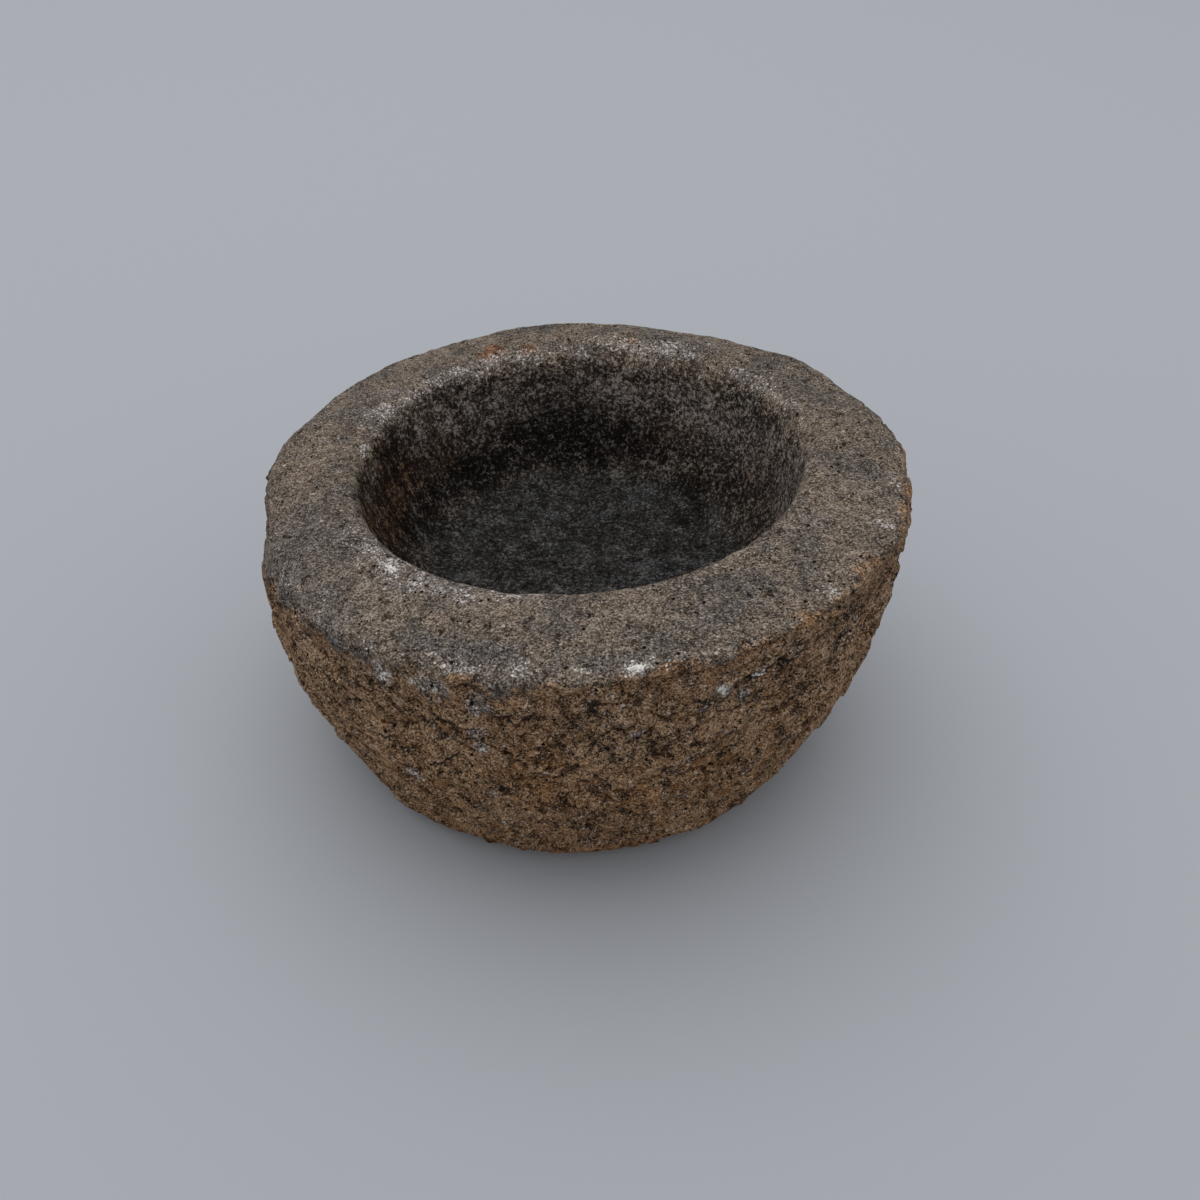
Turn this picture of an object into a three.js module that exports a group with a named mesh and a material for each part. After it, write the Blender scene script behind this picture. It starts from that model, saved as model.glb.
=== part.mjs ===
// A round stone mortar: one thick-walled bowl, carved from a single block of vesicular lava.
// Millimetres, +Z up. The origin is under the middle of the bowl, on the surface it stands on.
// Angles run round the bowl from +X, and -Y is the side with the crispest edge.

import * as THREE from 'three';
import { mergeVertices } from 'three/addons/utils/BufferGeometryUtils.js';

// Driving dimensions
const bodyRadius = 167;        // mean outside radius at the widest part, just under the rim
const bodyHeight = 165;        // underside to the crown of the rim, on the centre line
const footRadius = 113;        // the flat that the bowl stands on
const footRound = 17;          // how far the rounded bottom edge reaches outward before it turns up
const footEdge = [137, 18];    // radius and height where that rounding meets the belly
const bellyLow = [157, 64];    // radius and height that the lower belly swells towards
const bellyHigh = 77;          // height from which the upper belly is nearly upright
const rimFall = 3;             // the rim's top falls outward by this much
const rimSlope = 0.068;        // the whole rim rises towards +X by this much for each millimetre
const lean = [-4, -0.6];       // the foot stands this far off the rim's middle, in X and Y
const mouthRadius = 114.5;     // radius of the hollow just below the lip
const mouthShift = [1, 5];     // the hollow's axis stands this far off the rim's, in X and Y
const wallUpper = [110, 128];  // radius and height on the upper wall of the hollow
const wallLower = 98;          // radius towards which the wall's lower end curves
const bowlDepth = 79;          // crown of the rim to the middle of the hollow's floor
const floorEdgeRadius = 80;    // where the hollow's floor turns up into its wall
const floorRise = 6;           // the floor is this much higher there than in the middle
const floorFlatRadius = 28;    // the middle of the floor is worn flat this far out

// Roundings that change round the bowl: the mean, and what is added towards +X and towards +Y
const shoulderInset = [12, 5, 1];       // the rim's top starts this far in from the outside
const shoulderDrop = [14.5, -8.5, 10.5];  // and its rounding reaches this far down
const lipRound = [13, 0, 6];            // rounding between the rim and the hollow

const roundness = [            // out-of-round waves: count round the bowl, cosine and sine share
  [2, 0.0037, -0.0184],
  [3, 0.0063, -0.0016],
];
const mouthWaver = 0.006;      // the lip is this share out of round
const dressing = 0.8;          // depth of the hewn unevenness on the outside
const sectors = 84;            // facets round the bowl
const outsideSteps = [3, 3, 8, 5, 2];
const hollowSteps = [4, 6, 3, 1];

const floorHeight = bodyHeight - bowlDepth;

function roundTheBowl([mean, towardsX, towardsY], angle) {
  return mean + towardsX * Math.cos(angle) + towardsY * Math.sin(angle);
}

// The outside, from the middle of the underside to the shoulder and over the rim to the lip.
function outsideCurve(angle) {
  const shoulderTop = bodyHeight - rimFall;
  const shoulderFoot = shoulderTop - roundTheBowl(shoulderDrop, angle);
  const shoulderInner = bodyRadius - roundTheBowl(shoulderInset, angle);
  const lipOuter = mouthRadius + roundTheBowl(lipRound, angle);
  const path = new THREE.Path();
  path.moveTo(0, 0);
  path.lineTo(footRadius, 0);
  path.quadraticCurveTo(footRadius + footRound, 0, ...footEdge);
  path.bezierCurveTo(...bellyLow, bodyRadius, bellyHigh, bodyRadius, shoulderFoot);
  path.quadraticCurveTo(bodyRadius, shoulderTop, shoulderInner, shoulderTop);
  path.lineTo(lipOuter, bodyHeight);
  return path;
}

// The hollow, from the lip down the wall and across the floor to the middle.
function hollowCurve(angle) {
  const round = roundTheBowl(lipRound, angle);
  const wallTop = bodyHeight - round;
  const floorEdge = [floorEdgeRadius, floorHeight + floorRise];
  const path = new THREE.Path();
  path.moveTo(mouthRadius + round, bodyHeight);
  path.quadraticCurveTo(mouthRadius, bodyHeight, mouthRadius, wallTop);
  path.bezierCurveTo(...wallUpper, wallLower, floorHeight + 2 * floorRise, ...floorEdge);
  path.quadraticCurveTo(floorEdgeRadius * 0.6, floorHeight, floorFlatRadius, floorHeight);
  path.lineTo(0, floorHeight);
  return path;
}

// Points along a path, each of its curves cut into its own number of steps.
function alongPath(path, steps) {
  const points = [path.curves[0].getPoint(0)];
  path.curves.forEach((curve, i) => {
    for (let k = 1; k <= steps[i]; k++) points.push(curve.getPoint(k / steps[i]));
  });
  return points;
}

// Shallow hewn faces: a few waves crossing each other, fading out at the foot and the shoulder.
function hewn(angle, radius, z) {
  const up = z / bodyHeight;
  const waves = Math.sin(9 * angle + 5 * up) * Math.cos(7 * up - 2 * angle)
    + 0.7 * Math.sin(17 * angle - 11 * up + 1.3)
    + 0.5 * Math.cos(25 * angle + 14 * up);
  return dressing * waves * Math.sin(Math.PI * Math.min(1, up)) * Math.min(1, radius / footRadius);
}

function outOfRound(angle) {
  return roundness.reduce((sum, [n, c, s]) => sum + c * Math.cos(n * angle) + s * Math.sin(n * angle), 1);
}

// Where the hand-carved outside has a point of the turned profile.
function carvedOutside(radius, z, angle) {
  const up = z / bodyHeight;
  const far = radius * outOfRound(angle) + hewn(angle, radius, z);
  const x = far * Math.cos(angle) + lean[0] * (1 - up);
  const y = far * Math.sin(angle) + lean[1] * (1 - up);
  return [x, y, z + up * rimSlope * x];
}

// The same for the hollow: its axis is shifted, and its floor stays level under the sloping rim.
function carvedHollow(radius, z, angle) {
  const up = (z - floorHeight) / bowlDepth;
  const far = radius * (1 + up * mouthWaver * Math.cos(2 * angle + 0.8));
  const x = far * Math.cos(angle) + mouthShift[0];
  const y = far * Math.sin(angle) + mouthShift[1];
  return [x, y, z + up * rimSlope * x];
}

// Shared vertices merged, and the triangles that collapse on the axis dropped.
function welded(geometry) {
  geometry.deleteAttribute('normal');
  geometry.deleteAttribute('uv');
  const merged = mergeVertices(geometry, 1e-3);
  const index = merged.index.array;
  const kept = [];
  for (let i = 0; i < index.length; i += 3) {
    const [a, b, c] = [index[i], index[i + 1], index[i + 2]];
    if (a !== b && b !== c && c !== a) kept.push(a, b, c);
  }
  merged.setIndex(kept);
  return merged;
}

function profileAt(angle) {
  const outside = alongPath(outsideCurve(angle), outsideSteps);
  const hollow = alongPath(hollowCurve(angle), hollowSteps);
  return { points: outside.concat(hollow.slice(1)), seam: outside.length - 1 };
}

function mortarGeometry() {
  const profiles = [];
  for (let k = 0; k < sectors; k++) profiles.push(profileAt((k / sectors) * 2 * Math.PI - Math.PI / 2));
  const rows = profiles[0].points.length;
  const turned = new THREE.LatheGeometry(profiles[0].points, sectors);
  const position = turned.attributes.position;
  for (let i = 0; i < position.count; i++) {
    const sector = Math.floor(i / rows) % sectors;
    const row = i % rows;
    const angle = (sector / sectors) * 2 * Math.PI - Math.PI / 2;
    const { points, seam } = profiles[sector];
    const carved = row > seam ? carvedHollow : carvedOutside;
    position.setXYZ(i, ...carved(points[row].x, points[row].y, angle));
  }
  const geometry = welded(turned);
  geometry.computeBoundingBox();
  const middle = geometry.boundingBox.getCenter(new THREE.Vector3());
  geometry.translate(-middle.x, -middle.y, -geometry.boundingBox.min.z);
  geometry.computeVertexNormals();
  return geometry;
}

const stone = new THREE.MeshStandardMaterial({ color: 0x6b5a4c, roughness: 0.95, metalness: 0, flatShading: true });
const mortar = new THREE.Mesh(mortarGeometry(), stone);
mortar.name = 'mortar_bowl';

const group = new THREE.Group();
group.add(mortar);

export default group;
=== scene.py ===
import math

import bpy
import numpy as np
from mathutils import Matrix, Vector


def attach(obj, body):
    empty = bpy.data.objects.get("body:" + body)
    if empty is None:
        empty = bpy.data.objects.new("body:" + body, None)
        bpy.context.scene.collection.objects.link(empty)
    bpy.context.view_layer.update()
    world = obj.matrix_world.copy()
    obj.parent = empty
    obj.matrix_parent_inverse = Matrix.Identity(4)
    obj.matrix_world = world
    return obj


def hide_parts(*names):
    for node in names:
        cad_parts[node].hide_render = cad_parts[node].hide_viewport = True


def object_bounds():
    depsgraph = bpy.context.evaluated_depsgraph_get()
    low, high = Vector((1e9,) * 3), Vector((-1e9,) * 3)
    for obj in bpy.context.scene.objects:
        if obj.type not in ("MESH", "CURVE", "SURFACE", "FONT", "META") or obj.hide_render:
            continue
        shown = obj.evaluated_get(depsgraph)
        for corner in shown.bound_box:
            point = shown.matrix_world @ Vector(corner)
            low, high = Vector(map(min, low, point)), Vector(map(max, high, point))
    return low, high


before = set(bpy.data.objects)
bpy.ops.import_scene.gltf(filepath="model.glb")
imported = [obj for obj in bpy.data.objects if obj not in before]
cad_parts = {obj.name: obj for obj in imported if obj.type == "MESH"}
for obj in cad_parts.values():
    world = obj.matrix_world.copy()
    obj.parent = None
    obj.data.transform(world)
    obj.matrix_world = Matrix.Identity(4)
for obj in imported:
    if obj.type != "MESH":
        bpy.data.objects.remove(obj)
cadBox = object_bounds()
cadLow, cadHigh = np.array(cadBox[0]), np.array(cadBox[1])
rng = np.random.default_rng(11)
print("frame loaded, CAD box", np.round(cadHigh - cadLow, 4))

# the carved body before its relief, in metres: radii from the bowl's axis, heights from the ground
body = dict(
    radius=0.167, height=0.165,
    footRadius=0.113, footRound=0.017, footEdge=(0.137, 0.018),
    bellyLow=(0.157, 0.064), bellyHigh=0.077,
    rimFall=0.003, rimSlope=0.068, lean=(-0.004, -0.0006),
    mouthRadius=0.1145, mouthShift=(0.001, 0.005),
    wallUpper=(0.110, 0.128), wallLower=0.098,
    bowlDepth=0.079, floorEdge=0.080, floorRise=0.006, floorFlat=0.028,
    roundness=((2, 0.0037, -0.0184), (3, 0.0063, -0.0016)), mouthWaver=0.006, mouthWaverTurn=0.8,
    # roundings that change round the bowl: the mean, and what is added towards +X and +Y
    shoulderInset=(0.012, 0.005, 0.001), shoulderDrop=(0.0145, -0.0085, 0.0105), lipRound=(0.013, 0, 0.006),
)

# how fine the raw surface is before it is thinned, and how many triangles are kept
grid = dict(columns=1080, step=0.00095, coarseStep=0.0024, keptTriangles=194000)

# crevices and grain run level at the front and slant down towards it on the left and the right: how fast
# they turn, and the height where they lie level
slant = dict(turn=20, level=0.15)


def bezier(points, count):
    # count points along a curve whose control points are rings, the first point left out
    t = np.linspace(0, 1, count + 1)[1:, None, None]
    layers = [np.array(p)[None] for p in points]
    while len(layers) > 1:
        layers = [a * (1 - t) + b * t for a, b in zip(layers, layers[1:])]
    return layers[0]


def roundTheBowl(shares, angle):
    mean, towardsX, towardsY = shares
    return mean + towardsX * np.cos(angle) + towardsY * np.sin(angle)


def profileRows(angle):
    # radius and height of every row at every angle, and which stretch of the profile each row is on
    b = body
    rimEdge = b["height"] - b["rimFall"]
    floorLevel = b["height"] - b["bowlDepth"]
    shoulderFoot = rimEdge - roundTheBowl(b["shoulderDrop"], angle)
    lipRound = roundTheBowl(b["lipRound"], angle)

    def point(radius, height):
        # one ring of control points, radius and height side by side
        return np.stack([radius + 0 * angle, height + 0 * angle], axis=-1)

    middleLow, foot = point(0, 0), point(b["footRadius"], 0)
    footTurn, footEdge = point(b["footRadius"] + b["footRound"], 0), point(*b["footEdge"])
    shoulder = point(b["radius"], shoulderFoot)
    rimOuter = point(b["radius"] - roundTheBowl(b["shoulderInset"], angle), rimEdge)
    rimInner = point(b["mouthRadius"] + lipRound, b["height"])
    wallTop = point(b["mouthRadius"], b["height"] - lipRound)
    floorEdge = point(b["floorEdge"], floorLevel + b["floorRise"])
    floorFlat, middleTop = point(b["floorFlat"], floorLevel), point(0, floorLevel)
    step = grid["step"]
    stretches = [
        ("foot", [middleLow, foot], grid["coarseStep"]),
        ("footEdge", [foot, footTurn, footEdge], step),
        ("belly", [footEdge, point(*b["bellyLow"]), point(b["radius"], b["bellyHigh"]), shoulder], step),
        ("shoulder", [shoulder, point(b["radius"], rimEdge), rimOuter], step * 0.9),
        ("rim", [rimOuter, rimInner], step),
        ("lip", [rimInner, point(b["mouthRadius"], b["height"]), wallTop], step * 0.9),
        ("wall", [wallTop, point(*b["wallUpper"]), point(b["wallLower"], floorLevel + 2 * b["floorRise"]),
                  floorEdge], step * 1.1),
        ("floor", [floorEdge, point(b["floorEdge"] * 0.6, floorLevel), floorFlat], step * 1.2),
        ("floorFlat", [floorFlat, middleTop], step * 1.5),
    ]
    rows, names = [], []
    for name, points, spacing in stretches:
        rough = np.concatenate([points[0][None], bezier(points, 40)])
        length = np.linalg.norm(np.diff(rough, axis=0), axis=-1).sum(0).max()
        part = bezier(points, max(3, int(length / spacing)))
        rows.append(part)
        names += [name] * len(part)
    rows = np.concatenate(rows)[:-1]  # the last row is the floor's middle, a point of its own
    return rows, np.array(names[:-1])


def smooth(low, high, value):
    t = np.clip((value - low) / (high - low), 0, 1)
    return t * t * (3 - 2 * t)


def latticeNoise(points, feature, seed):
    # soft noise from -1 to 1 whose bumps are about one feature across
    table = np.random.default_rng(seed).uniform(-1, 1, (64, 64, 64)).astype(np.float32)
    scaled = points / feature
    cell = np.floor(scaled).astype(np.int64)
    f = (scaled - cell).astype(np.float32)
    f = f * f * f * (f * (f * 6 - 15) + 10)
    cell &= 63
    total = 0
    for i in (0, 1):
        wx = f[:, 0] if i else 1 - f[:, 0]
        for j in (0, 1):
            wy = f[:, 1] if j else 1 - f[:, 1]
            for k in (0, 1):
                wz = f[:, 2] if k else 1 - f[:, 2]
                total = total + wx * wy * wz * table[(cell[:, 0] + i) & 63, (cell[:, 1] + j) & 63,
                                                     (cell[:, 2] + k) & 63]
    return total


def layeredNoise(points, feature, layers, seed, gain=0.55):
    total, weight = 0, 1.0
    for n in range(layers):
        total = total + weight * latticeNoise(points + 0.37 * n, feature / 2.03 ** n, seed + n)
        weight *= gain
    return total


def bodyShape(rows, names, angle):
    # the smooth body: one ring of points for each row
    b = body
    radius, height = rows[..., 0], rows[..., 1]
    names = names[:, None]
    hollow = np.isin(names, ("lip", "wall", "floor", "floorFlat"))
    out = 1 + sum(c * np.cos(n * angle) + s * np.sin(n * angle) for n, c, s in b["roundness"])
    up = height / b["height"]
    x = radius * out * np.cos(angle) + b["lean"][0] * (1 - up)
    y = radius * out * np.sin(angle) + b["lean"][1] * (1 - up)
    deep = (height - b["height"] + b["bowlDepth"]) / b["bowlDepth"]
    waver = 1 + deep * b["mouthWaver"] * np.cos(2 * angle + b["mouthWaverTurn"])
    xIn = radius * waver * np.cos(angle) + b["mouthShift"][0]
    yIn = radius * waver * np.sin(angle) + b["mouthShift"][1]
    # the rim passes from the outside's round to the hollow's
    rimOut = b["radius"] - roundTheBowl(b["shoulderInset"], angle)
    rimIn = b["mouthRadius"] + roundTheBowl(b["lipRound"], angle)
    across = np.clip((rimOut - radius) / (rimOut - rimIn), 0, 1)
    share = np.where(names == "rim", across * across * (3 - 2 * across), np.where(hollow, 1.0, 0.0))
    x = x * (1 - share) + xIn * share
    y = y * (1 - share) + yIn * share
    z = height + np.where(hollow, deep, up) * b["rimSlope"] * x
    return np.stack([x, y, z], axis=-1)


def fitToFrame(points):
    # the smooth body gets the CAD solid's own box
    low, high = points.reshape(-1, 3).min(0), points.reshape(-1, 3).max(0)
    scale = (cadHigh - cadLow) / (high - low)
    return (points - low) * scale + cadLow


def gridNormals(points):
    acrossRows = np.gradient(points, axis=0)
    acrossColumns = np.roll(points, -1, axis=1) - np.roll(points, 1, axis=1)
    normal = np.cross(acrossColumns, acrossRows)
    return normal / np.maximum(np.linalg.norm(normal, axis=-1, keepdims=True), 1e-12)


angles = np.linspace(-math.pi, math.pi, grid["columns"], endpoint=False)
rows, rowNames = profileRows(angles)
smoothBody = fitToFrame(bodyShape(rows, rowNames, angles))
print("smooth body", smoothBody.shape)

# distance along the profile in metres, from the middle of the foot
rowStep = np.linalg.norm(np.diff(np.concatenate([rows[:1], rows]), axis=0), axis=-1)
along = np.cumsum(rowStep, axis=0)


def alongAt(name, share):
    # how far along the profile a share of one stretch is, at every angle
    part = along[rowNames == name]
    return part[int((len(part) - 1) * share)]


ridgeAt, lipAt = alongAt("shoulder", 0.6), alongAt("lip", 0.5)
floorAt, footAt = alongAt("wall", 1.0), alongAt("foot", 1.0)

# relief in mm: how wide each kind of roughness is, then how far it rises and falls; flakes and chips also
# have how steeply they tilt, crevices how broad their lines are, and flatten makes everything lie level
# the last entry is how far above, in mm, the stone is read for the painted shade under ledges and the
# painted light beside them
outside = dict(broad=(46, 1.6), flakes=(26, 3.4, 1.6), chips=(11, 1.1, 2.0), lumps=(12.0, 0.7),
               crumbs=(3.8, 0.4), crevices=(15, 2.0, 0.13), fineCrevices=(7.5, 1.3, 0.16),
               creviceKept=(0.12, 0.5), cavities=(6.5, 1.7), cavityFrom=0.66, flatten=1.5, below=0.1,
               fineShare=0.8, cavityShare=1.2, bend=(12, 3.5), flakeBend=1.6, calmNearGround=0.45, paintedLedgeShading=1.6)
# tool marks on the flanks: which way they run and face on the right, how sharp and low, and how much they
# calm the rest
gouges = dict(size=6.5, depth=2.4, stretch=0.85, run=(-0.56, -0.56, -0.61), facing=(0.7, -0.7, -0.15),
              facingFrom=(0.1, 0.9), sharp=2.4, low=0.7, calm=0.4)
rimTop = dict(broad=(60, 0.6), worn=(15, 0.4), grain=(4.0, 0.26))
inside = dict(broad=(35, 0.8), worn=(10, 0.4), grain=(4.2, 0.2), onFloor=0.5)
underside = dict(pecks=(6.0, 0.5))
# open gas bubbles: how many, their radius in mm, and how deep, long, turned, ragged and steep they are, and
# how strongly their hollows take painted shade
bubbles = dict(onRim=2600, onOutside=2200, sizeRim=(0.4, 1.3), sizeOutside=(0.5, 1.7), deep=0.85,
               longer=1.1, turnRim=math.pi, turnOutside=1.2, reach=1.4, ragged=0.45, raggedSize=2.4,
               steep=0.7, shadeInHoles=1.4)
reliefReach = 0.0045  # metres over which a place counts as standing out or lying low

# dents and swellings: degrees round the bowl, mm from the ridge (down is less), mm wide, mm tall, mm deep
dents = [
    (-172, -16, 36, 28, 3.2), (-164, -30, 30, 32, 2.4), (-122, -116, 36, 30, 1.6),
    (-130, -98, 36, 34, 3.2), (166, -2, 24, 14, -1.8), (10, -2, 30, 14, -1.4),
    (36, 0, 34, 14, -2.8), (101, 0, 44, 14, -1.6), (68, 0, 26, 12, 1.6), (-136, -116, 56, 30, 2.4),
    (-142, -62, 70, 44, 1.8), (-164, -52, 34, 30, 1.2), (156, -2, 36, 14, 0.9),
    (-169, -1, 26, 16, 4.5), (-146, 3, 52, 13, 1.8), (-104, 2, 60, 8, 0.9), (20, 2, 70, 9, 0.8),
    (-178, -30, 20, 30, 1.2), (-68, -126, 30, 12, 1.6), (-108, 4, 22, 7, 0.9),
    (-33, -38, 16, 26, 3.2), (-47, -92, 20, 24, 3.0), (-40, -66, 14, 10, -1.6),
    (-117, -8, 18, 9, 1.2), (-82, -10, 30, 9, 1.0), (-62, -9, 20, 10, 1.2),
    (-113, -34, 20, 8, 1.6), (-104, -46, 12, 9, 2.2), (-84, -70, 60, 9, 1.4),
    (-70, -112, 40, 10, 1.3), (-122, -62, 34, 10, 1.3),
]

# soft patches: where they begin and end as a share of their half width, how ragged that is, and in metres
# how wide the raggedness is and the radius inside which they no longer narrow
patches = dict(edge=(0.35, 1.45), ragged=0.45, raggedSize=0.007, narrowest=0.02)
# bruised, stained and worn places, and pale patches on the belly that are painted light: degrees round the
# bowl, mm from the lip (in is more) or from the ridge (down is less), mm wide, mm tall, strength
bruisedLip = [
    (-134, -10, 15, 7, 1.0), (-126, -12, 10, 6, 1.0), (-143, -6, 16, 6, 0.75),
    (-117, -8, 14, 6, 0.8), (-140, -6, 54, 20, 0.5), (-120, -7, 44, 14, 0.6),
    (-104, -3, 34, 6, 0.5), (-128, -2, 44, 5, 0.6), (-152, -8, 8, 5, 0.4), (-167, -3, 12, 5, 0.35),
    (9, 0, 10, 6, 0.35), (20, -1, 10, 6, 0.5), (30, -8, 5, 4, 0.7), (32, 1, 10, 4, 0.4),
    (44, 0, 14, 6, 0.75), (58, -3, 12, 6, 0.9), (64, -9, 8, 4, 0.75), (75, -1, 16, 5, 0.8),
    (88, 2, 18, 5, 0.65), (104, 1, 20, 5, 0.7), (126, 0, 16, 6, 0.5), (142, -3, 24, 8, 0.55),
    (155, -4, 34, 14, 0.65), (157, -3, 12, 7, 0.8), (170, 0, 22, 8, 0.55), (-28, -3, 14, 5, 0.4),
    (-12, -1, 14, 6, 0.45), (-50, -3, 16, 3, 0.35), (-112, -4, 16, 3, 0.45), (-25, -43, 6, 9, 0.7),
    (-45, -44, 7, 10, 0.7), (-37, -38, 8, 5, 0.4), (74, -4, 90, 14, 0.5), (120, -3, 110, 13, 0.5),
    (60, -22, 70, 20, 0.3), (30, -3, 60, 9, 0.45),
]
bruisedRidge = [
    (-108, 3, 90, 16, 0.13), (-72, 1, 60, 12, 0.13), (-140, 0, 60, 14, 0.15),
    (-107, 4, 18, 8, 0.75), (-98, 3, 16, 8, 0.7), (-80, 1, 16, 7, 1.0), (-74, 3, 9, 5, 0.6),
    (-88, 5, 14, 7, 0.4), (-120, -12, 10, 12, 0.9), (-112, -10, 22, 13, 0.8),
    (-104, -19, 14, 10, 0.7), (-124, 1, 10, 7, 0.45), (-62, -2, 9, 7, 0.6), (-67, -23, 9, 5, 1.4),
    (-61, -22, 7, 4, 1.2), (-55, -2, 8, 6, 0.55), (-148, 2, 14, 6, 0.4), (-137, 3, 14, 6, 0.35),
    (-80, -37, 8, 6, 1.6), (-66, -25, 7, 4, 0.9), (-63, -34, 5, 10, 1.2), (-70, -30, 5, 4, 0.7),
    (-104, -34, 12, 9, 0.6), (-118, -84, 12, 9, 0.85), (-103, -80, 6, 7, 0.5),
    (-58, -95, 8, 7, 0.5), (-104, -13, 10, 8, 0.45), (-52, -60, 5, 6, 0.4), (-94, -60, 5, 4, 1.1),
    (-104, -48, 9, 3, 1.1), (-71, -62, 5, 4, 1.1), (-12, 1, 14, 6, 0.4),
]
rusted = [
    (76, -8, 12, 8, 0.8), (105, -6, 14, 10, 0.8), (115, -9, 18, 14, 1.0), (113, -17, 10, 12, 0.8),
    (93, -6, 8, 5, 0.5),
]
ochred = [
    (-115, -17, 30, 18, 0.9), (-127, -27, 24, 20, 0.6), (-104, -48, 20, 14, 0.5),
    (-42, -20, 22, 20, 0.9), (-88, -14, 34, 12, 0.4), (-52, -36, 22, 16, 0.4),
    (-132, -55, 30, 20, 0.4), (-60, -78, 30, 16, 0.35), (-150, -30, 24, 34, 0.4),
]
sooted = [
    (99, 52, 110, 40, 1.0), (130, 60, 80, 34, 0.95), (155, 62, 70, 30, 0.85),
    (68, 60, 70, 26, 0.6), (45, 70, 44, 26, 0.75), (100, 44, 150, 60, 0.5), (34, 84, 26, 22, 0.7),
    (58, 52, 60, 20, 0.4),
]
browned = [
    (166, 34, 80, 66, 1.0), (-168, 30, 60, 60, 1.0), (-142, 28, 50, 50, 0.9),
    (146, 40, 60, 44, 0.7), (60, 40, 50, 22, 0.35), (14, 32, 50, 36, 0.35),
]
# cool clouds on the rim near the ridge, and further down pale patches on the belly's left and front that are
# painted light
cloudsAndPaintedLight = [
    (-108, -36, 50, 10, 0.9), (-84, -40, 40, 8, 0.6), (-62, -26, 34, 16, 0.8),
    (-33, -16, 26, 18, 0.6), (-12, -26, 26, 20, 0.5), (-128, -18, 26, 14, 0.5),
    (-162, -22, 30, 18, 0.4), (150, -12, 40, 16, 0.5), (30, -24, 40, 16, 0.4),
    (-140, -34, 24, 10, 0.6), (-152, -60, 90, 90, 0.6), (-140, -100, 130, 90, 0.9),
    (-96, -150, 90, 30, 0.7), (-78, -95, 70, 40, 0.6), (-40, -90, 60, 60, 0.5),
]

# where one finish passes into the next, in metres along the profile from the edge that it follows, and how
# far the border wanders; low is the height above the ground
borders = dict(hewn=(-0.017, 0.003, 0.006), brown=(-0.010, 0.006, 0.006), brownDrop=(0.008, -0.003, 0.006),
               hollow=(-0.004, 0.010, 0.003), floor=(-0.026, 0.004, 0.006), foot=(-0.004, 0.006, 0),
               low=(0.004, 0.022, 0.004), wander=0.016)


def zones(points):
    # soft weights for the outside, the rim, the hollow's wall and its floor, with ragged borders
    ragged = layeredNoise(points.reshape(-1, 3), borders["wander"], 3, 5).reshape(points.shape[:2])

    def past(name, edgeAt, where=along):
        start, end, wander = borders[name]
        return smooth(edgeAt + start, edgeAt + end, where + ragged * wander)

    outer = 1 - past("hewn", ridgeAt)
    brown = 1 - past("brown", ridgeAt - roundTheBowl(borders["brownDrop"], angles))
    hollow, floor = past("hollow", lipAt), past("floor", floorAt)
    foot = 1 - past("foot", footAt)
    deep = np.clip((along - lipAt) / (floorAt - lipAt), 0, 1)
    return dict(outer=outer * (1 - foot), rim=(1 - outer) * (1 - hollow), wall=hollow * (1 - floor),
                floor=floor, foot=foot, deep=deep, brown=brown * (1 - foot),
                low=1 - past("low", 0, points[..., 2]))


def patchesAt(marks, start, ragged):
    # soft patches with ragged edges, each at its own angle and distance along the profile
    total = np.zeros(along.shape)
    radius = rows[..., 0]
    for angle, distance, wide, tall, strength in marks:
        turn = (angles - math.radians(angle) + math.pi) % (2 * math.pi) - math.pi
        across = turn * np.maximum(radius, patches["narrowest"]) * 2000 / wide
        up = ((along - start) * 1000 - distance) * 2 / tall
        far = np.sqrt(across ** 2 + up ** 2) + patches["ragged"] * ragged
        total = np.maximum(total, strength * (1 - smooth(*patches["edge"], far)))
    return total


def flakeNoise(points, feature, tilt, seed):
    # broken flakes: each has a height of its own, about -0.5 to 0.5, and slopes its own way up to the next
    table = np.random.default_rng(seed).random((32, 32, 32, 7)).astype(np.float32)
    scaled = (points / feature).astype(np.float32)
    cell = np.floor(scaled).astype(np.int64)
    inCell = scaled - cell
    nearest = np.full(len(points), 9.0, np.float32)
    height = np.zeros(len(points), np.float32)
    for i in (-1, 0, 1):
        for j in (-1, 0, 1):
            for k in (-1, 0, 1):
                flake = table[(cell[:, 0] + i) & 31, (cell[:, 1] + j) & 31, (cell[:, 2] + k) & 31]
                gap = inCell - np.array((i, j, k), np.float32) - flake[:, :3]
                far = (gap * gap).sum(-1)
                closer = far < nearest
                nearest[closer] = far[closer]
                own = flake[closer]
                height[closer] = own[:, 3] - 0.5 + tilt * ((own[:, 4:] - 0.5) * gap[closer]).sum(-1)
    return height


def field(relief, layers, seed, where):
    # soft noise, as wide and as deep as the relief says
    feature, depth = relief
    return depth * layeredNoise(where, feature, layers, seed, 0.5)


def creviceLines(relief, seed, flat, bent):
    # thin winding lines where soft noise crosses zero, kept only in places
    feature, _, width = relief
    line = layeredNoise(flat, feature, 3, seed, 0.6)
    kept = smooth(*outside["creviceKept"], layeredNoise(bent, feature * 1.3, 2, seed + 5))
    return np.exp(-(line / width) ** 2) * kept


def toolMarked(rough, bent, normals):
    # marks slanting down towards the front, on the left and on the right
    for side in (-1, 1):
        run = np.array(gouges["run"]) * (side, 1, 1)
        facing = smooth(*gouges["facingFrom"], normals @ (np.array(gouges["facing"]) * (side, 1, 1)))
        marks = layeredNoise(bent - gouges["stretch"] * (bent @ run)[:, None] * run, gouges["size"], 2, 151)
        marks = np.minimum(np.abs(marks) * gouges["sharp"], 1) - gouges["low"]
        rough = rough * (1 - gouges["calm"] * facing) + gouges["depth"] * marks * facing
    return rough


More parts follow.
